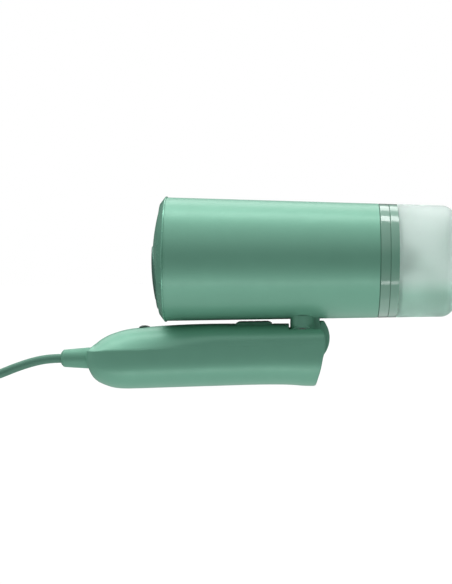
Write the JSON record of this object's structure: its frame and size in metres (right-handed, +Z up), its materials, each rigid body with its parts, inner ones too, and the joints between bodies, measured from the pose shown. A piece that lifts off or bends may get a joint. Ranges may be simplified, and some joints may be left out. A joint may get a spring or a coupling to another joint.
{
  "type": "handheld garment steamer",
  "caption": "Folding handheld garment steamer: tapered steam head with a frosted slide-off water tank, hinged over a rounded handle with a trigger and mains cord.",
  "frame": {"origin": "middle of the footprint of the folded steamer without its cord, on the surface its handle lies on", "axes": "+X from the steam face towards the water tank, +Y across it, +Z up"},
  "size_m": [0.3584, 0.0895, 0.1099],
  "materials": {
    "body_green": "satin mint green",
    "soft_green": "matt mint green",
    "cord_green": "matt mint green",
    "plate": "dark green coating",
    "frosted": "frosted",
    "clear_gloss": "clear gloss",
    "lens": "gloss",
    "steel": "plain",
    "aluminium": "cast",
    "brass": "plain",
    "copper": "enamelled winding",
    "board": "solder mask",
    "wire": "insulation",
    "black_plastic": "matt",
    "white_plastic": "matt",
    "silicone": "translucent",
    "rubber": "matt"
  },
  "bodies": {
    "handle": {"handle_shell_near": "body_green", "handle_shell_far": "body_green", "handle_screws": "steel", "hinge_pin": "steel", "friction_washers": "steel", "control_board": "board", "board_parts": "black_plastic", "micro_switch": "black_plastic", "ready_light": "lens", "cord_guard": "soft_green", "cord_clamp": "black_plastic", "lead_wires": "wire", "trigger_springs": "steel", "cord": "cord_green", "cord_coil": "cord_green", "coil_tie": "black_plastic", "cord_tail": "cord_green", "plug_body": "soft_green", "plug_pins": "steel"},
    "trigger": {"steam_trigger": "body_green"},
    "head": {"head_sleeve": "body_green", "hinge_neck": "body_green", "neck_screws": "steel", "front_ring": "body_green", "face_dome": "body_green", "steam_plate": "plate", "boiler_gasket": "silicone", "boiler_block": "aluminium", "boiler_cover": "aluminium", "cover_screws": "steel", "heating_element": "steel", "thermostat": "black_plastic", "thermal_fuse": "white_plastic", "heat_shield": "steel", "steam_inlet": "brass", "inner_frame": "white_plastic", "pump_body": "white_plastic", "pump_coil": "copper", "pump_mounts": "rubber", "outlet_hose": "silicone", "inlet_hose": "silicone", "dock_core": "body_green", "dock_spigot": "white_plastic", "dock_o_ring": "rubber"},
    "tank": {"tank_collar": "clear_gloss", "tank_rim": "clear_gloss", "tank_shell": "frosted", "tank_cap": "frosted", "tank_valve": "rubber", "valve_spring": "steel", "valve_cover": "white_plastic", "intake_hose": "silicone", "intake_filter": "steel"},
    "filler": {"filler_plug": "silicone"}
  },
  "joints": [
    {"name": "fold", "type": "hinge", "parent": "handle", "child": "head", "pos_m": [0.0255, 0, 0.0279], "axis": [0, 1, 0], "range_deg": [0, 95]},
    {"name": "trigger_press", "type": "slide", "parent": "handle", "child": "trigger", "axis": [0, 0, -1], "range_m": [0, 0.0016], "stiffness_N_per_m": 900, "springref_m": -0.0012, "deforming": ["trigger_springs"]},
    {"name": "tank_pull", "type": "slide", "parent": "head", "child": "tank", "axis": [0.9997, 0, -0.0244], "range_m": [0, 0.025]},
    {"name": "filler_pull", "type": "slide", "parent": "tank", "child": "filler", "axis": [0.9997, 0, -0.0244], "range_m": [0, 0.008]}
  ]
}
